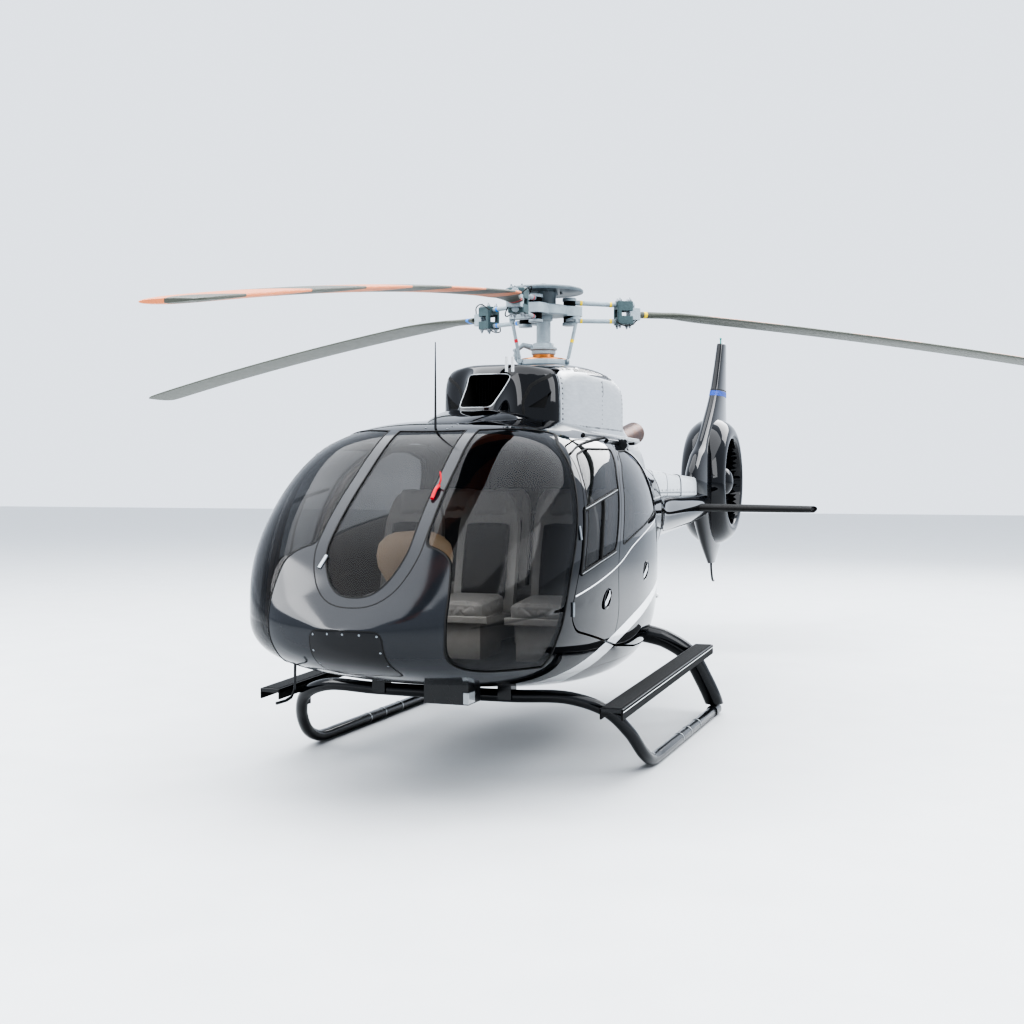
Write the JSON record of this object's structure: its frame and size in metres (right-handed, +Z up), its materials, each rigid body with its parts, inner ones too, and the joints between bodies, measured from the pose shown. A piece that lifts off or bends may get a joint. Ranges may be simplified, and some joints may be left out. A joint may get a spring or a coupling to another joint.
{
  "type": "light helicopter",
  "caption": "Light helicopter with a rounded glazed cabin, hinged front doors, a turning main rotor and a shrouded tail fan, parked on skids.",
  "frame": {"origin": "middle of the whole outline, on the ground under the skids", "axes": "+X to the aircraft's left, +Y aft, +Z up"},
  "size_m": [9.5258, 12.6354, 3.611],
  "materials": {
    "paint": "near-black high-gloss enamel with white stripes",
    "fin_paint": "painted moulded composite",
    "trim": "satin dark grey trim",
    "glazing": "tinted acrylic glazing",
    "cowl_metal": "bare rolled aluminium sheet with a dark glossy top",
    "hub_metal": "light grey painted rotor head",
    "dark_metal": "dark painted fittings",
    "engine": "plain engine mass",
    "step_metal": "black anodised step boards",
    "gear_paint": "glossy black tubes, worn to bare metal underneath",
    "blade_skin": "painted composite blades",
    "fan_blade": "dark anodised fan",
    "seat_cloth": "pale seat covers with dark inserts",
    "pedestal": "beige moulded instrument pedestal",
    "flooring": "dark floor covering on sheet metal"
  },
  "bodies": {
    "airframe": {"nose_shell": "paint", "canopy_frame": "paint", "belly_shell": "paint", "rear_body": "paint", "tail_boom": "paint", "shaft_cover": "paint", "rear_door_left": "paint", "rear_door_right": "paint", "tail_fin": "fin_paint", "windscreen_frame": "trim", "door_post_left": "trim", "door_post_right": "trim", "whip_antenna": "trim", "stabilizer_left": "trim", "stabilizer_right": "trim", "windscreen_centre": "glazing", "windscreen_left": "glazing", "windscreen_right": "glazing", "rear_door_glass_left": "glazing", "rear_door_glass_right": "glazing", "gearbox_cowl": "cowl_metal", "engine_cowl": "cowl_metal", "mast_housing": "cowl_metal", "fan_stator": "hub_metal", "belly_lamp": "dark_metal", "pitot_tube": "dark_metal", "door_rail_left": "dark_metal", "tail_guard": "dark_metal", "exhaust_pipe": "dark_metal", "engine_block": "engine", "step_left": "step_metal", "step_right": "step_metal", "cross_tube_front": "gear_paint", "cross_tube_rear": "gear_paint", "skid_left": "gear_paint", "skid_right": "gear_paint", "seat_rear": "seat_cloth", "seat_front_left": "seat_cloth", "seat_front_middle": "seat_cloth", "seat_front_right": "seat_cloth", "instrument_pedestal": "pedestal", "cabin_floor": "flooring"},
    "main_rotor": {"rotor_head": "hub_metal", "swash_plate": "hub_metal", "sleeve_a": "hub_metal", "sleeve_b": "hub_metal", "sleeve_c": "hub_metal", "blade_a": "blade_skin", "blade_b": "blade_skin", "blade_c": "blade_skin"},
    "tail_fan": {"tail_fan_rotor": "fan_blade"},
    "front_door_leaf_left": {"front_door_left": "paint", "front_door_glass_left": "glazing"},
    "front_door_leaf_right": {"front_door_right": "paint", "front_door_glass_right": "glazing"},
    "baggage_door_leaf_left": {"baggage_door_left": "paint"},
    "baggage_door_leaf_right": {"baggage_door_right": "paint"}
  },
  "joints": [
    {"name": "main_rotor_spin", "type": "hinge", "parent": "airframe", "child": "main_rotor", "pos_m": [0.18313, -0.97306, 3.1], "axis": [0, 0, 1], "continuous": true},
    {"name": "tail_fan_spin", "type": "hinge", "parent": "airframe", "child": "tail_fan", "pos_m": [0.23813, 5.54694, 1.82], "axis": [1, 0, 0], "continuous": true},
    {"name": "front_door_left_hinge", "type": "hinge", "parent": "airframe", "child": "front_door_leaf_left", "pos_m": [1.21913, -3.46706, 1.11], "axis": [0, -0.3714, -0.9285], "range_deg": [0, 80]},
    {"name": "front_door_right_hinge", "type": "hinge", "parent": "airframe", "child": "front_door_leaf_right", "pos_m": [-0.85287, -3.46706, 1.11], "axis": [0, 0.3714, 0.9285], "range_deg": [0, 80]},
    {"name": "baggage_door_left_hinge", "type": "hinge", "parent": "airframe", "child": "baggage_door_leaf_left", "pos_m": [1.04713, -0.86006, 1.702], "axis": [0.2567, -0.9647, 0.059], "range_deg": [0, 85]},
    {"name": "baggage_door_right_hinge", "type": "hinge", "parent": "airframe", "child": "baggage_door_leaf_right", "pos_m": [-0.68087, -0.86006, 1.702], "axis": [0.2567, 0.9647, -0.059], "range_deg": [0, 85]}
  ]
}
